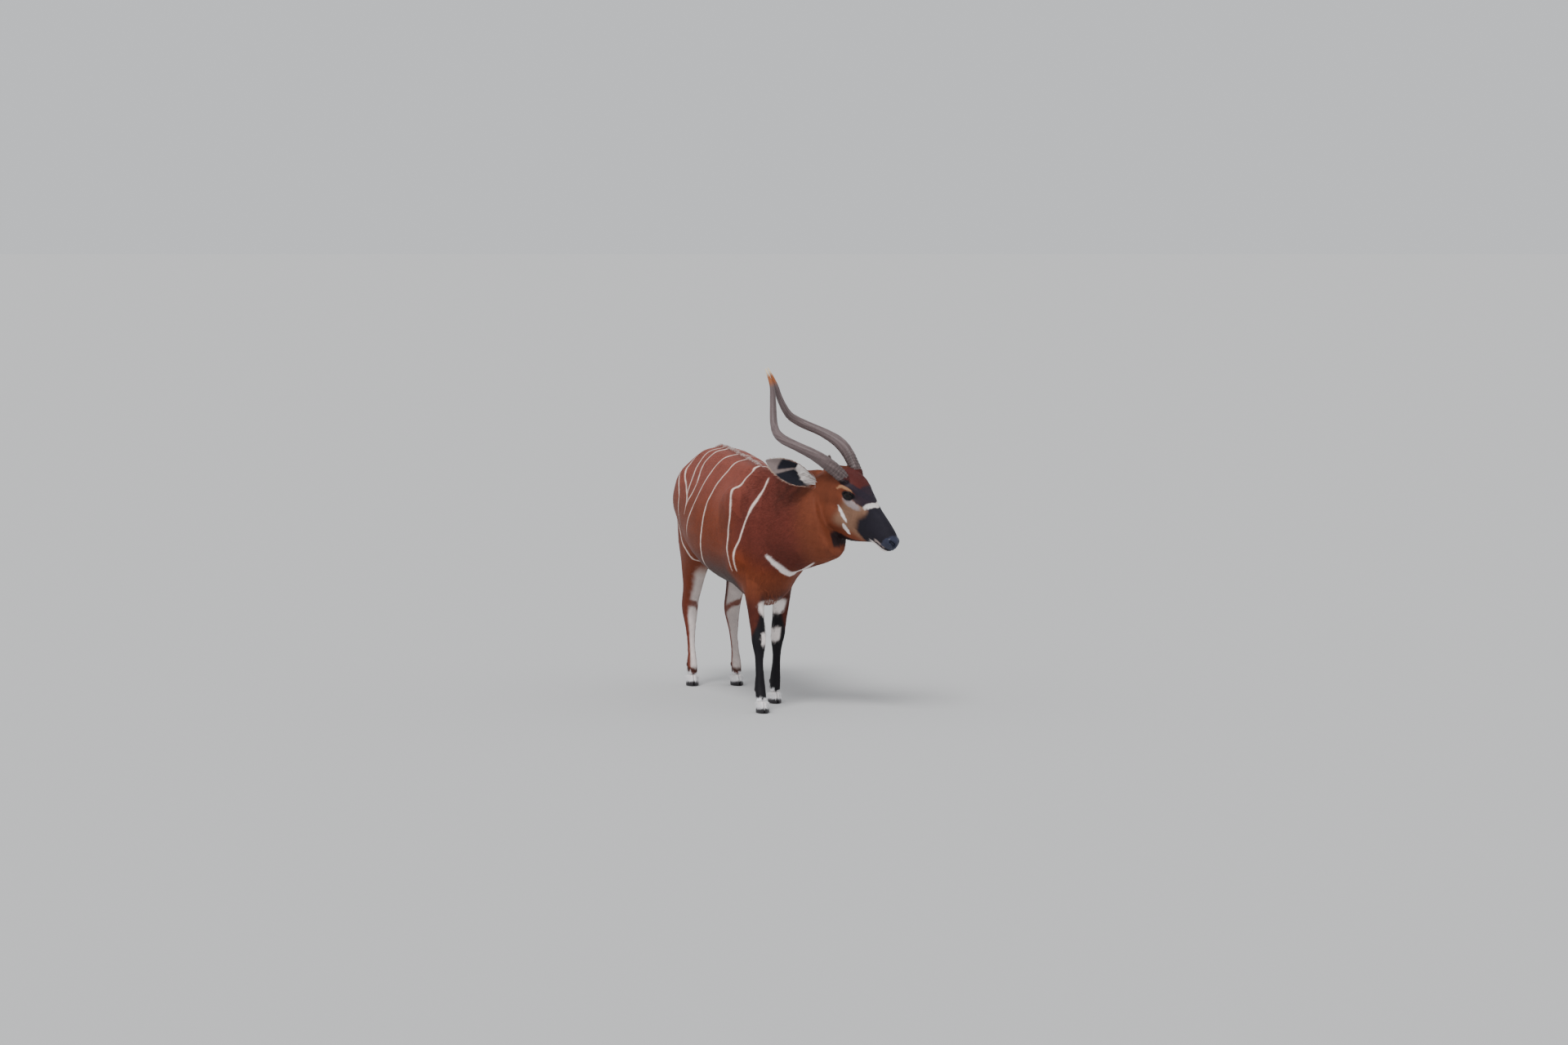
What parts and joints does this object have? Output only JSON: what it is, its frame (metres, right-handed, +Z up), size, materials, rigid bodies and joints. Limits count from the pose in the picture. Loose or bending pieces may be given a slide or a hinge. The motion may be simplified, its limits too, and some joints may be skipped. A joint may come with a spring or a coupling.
{
  "type": "bongo antelope",
  "caption": "Life-size standing bongo antelope in a still pose, head turned to its left, with spiral horns, broad ears, striped coat and cloven hooves.",
  "frame": {"origin": "middle of the bounding box, on the floor", "axes": "+X along the trunk towards the breast, +Y to the animal's left, +Z up"},
  "size_m": [1.9292, 0.7864, 1.7086],
  "materials": {
    "coat": "short, slightly glossy hair, chestnut with white stripes and black and white leg markings",
    "horn": "ridged grey-brown horn, satin, with ivory tips",
    "hoof": "black hoof horn, satin",
    "eye": "wet, glossy, nearly black"
  },
  "bodies": {
    "root": {"torso": "coat", "neck": "coat", "head": "coat", "ear_left": "coat", "ear_right": "coat", "eye_left": "eye", "eye_right": "eye", "horn_left": "horn", "horn_right": "horn", "tail": "coat", "fore_left_upper": "coat", "fore_left_lower": "coat", "fore_right_upper": "coat", "fore_right_lower": "coat", "hind_left_upper": "coat", "hind_left_lower": "coat", "hind_right_upper": "coat", "hind_right_lower": "coat", "claw_fore_left_left": "hoof", "claw_fore_left_right": "hoof", "claw_fore_right_left": "hoof", "claw_fore_right_right": "hoof", "claw_hind_left_left": "hoof", "claw_hind_left_right": "hoof", "claw_hind_right_left": "hoof", "claw_hind_right_right": "hoof", "dewclaw_fore_left_left": "hoof", "dewclaw_fore_left_right": "hoof", "dewclaw_fore_right_left": "hoof", "dewclaw_fore_right_right": "hoof", "dewclaw_hind_left_left": "hoof", "dewclaw_hind_left_right": "hoof", "dewclaw_hind_right_left": "hoof", "dewclaw_hind_right_right": "hoof"}
  },
  "joints": []
}
